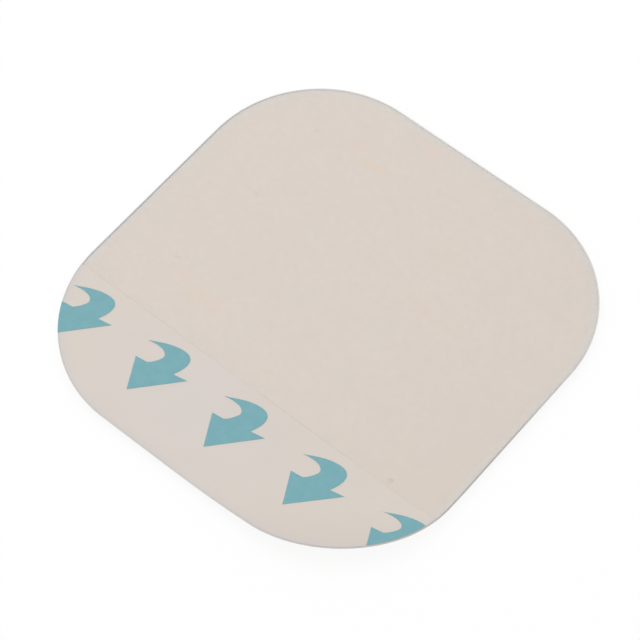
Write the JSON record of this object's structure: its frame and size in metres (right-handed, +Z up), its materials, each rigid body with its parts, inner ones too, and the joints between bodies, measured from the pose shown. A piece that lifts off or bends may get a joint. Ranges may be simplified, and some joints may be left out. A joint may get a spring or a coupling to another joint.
{
  "type": "blister plaster",
  "caption": "Square hydrocolloid blister plaster with broad round corners, a bevelled rim and a clear release liner with a printed pull strip along one side.",
  "frame": {"origin": "middle of the square on the plane that the underside rests on", "axes": "+Z up through the thickness toward the release liner, -Y toward the edge of the printed pull strip, +X along that strip toward the curled corner"},
  "size_m": [0.05, 0.05, 0.0028],
  "materials": {
    "backing_film": "thin polyurethane film, satin, beige from the gel behind it",
    "hydrocolloid": "soft tacky gel, pale beige, paler and greyer where it thins at the rim",
    "liner_film": "clear siliconised film, soft gloss",
    "strip_film": "clear siliconised film, soft gloss, slightly cooler than the liner",
    "arrow_ink": "flat printed ink, muted blue-green"
  },
  "bodies": {
    "root": {"backing_film": "backing_film", "hydrocolloid_pad": "hydrocolloid", "release_liner": "liner_film", "peel_strip": "strip_film", "printed_arrow_1": "arrow_ink", "printed_arrow_2": "arrow_ink", "printed_arrow_3": "arrow_ink", "printed_arrow_4": "arrow_ink", "printed_arrow_5": "arrow_ink"}
  },
  "joints": []
}
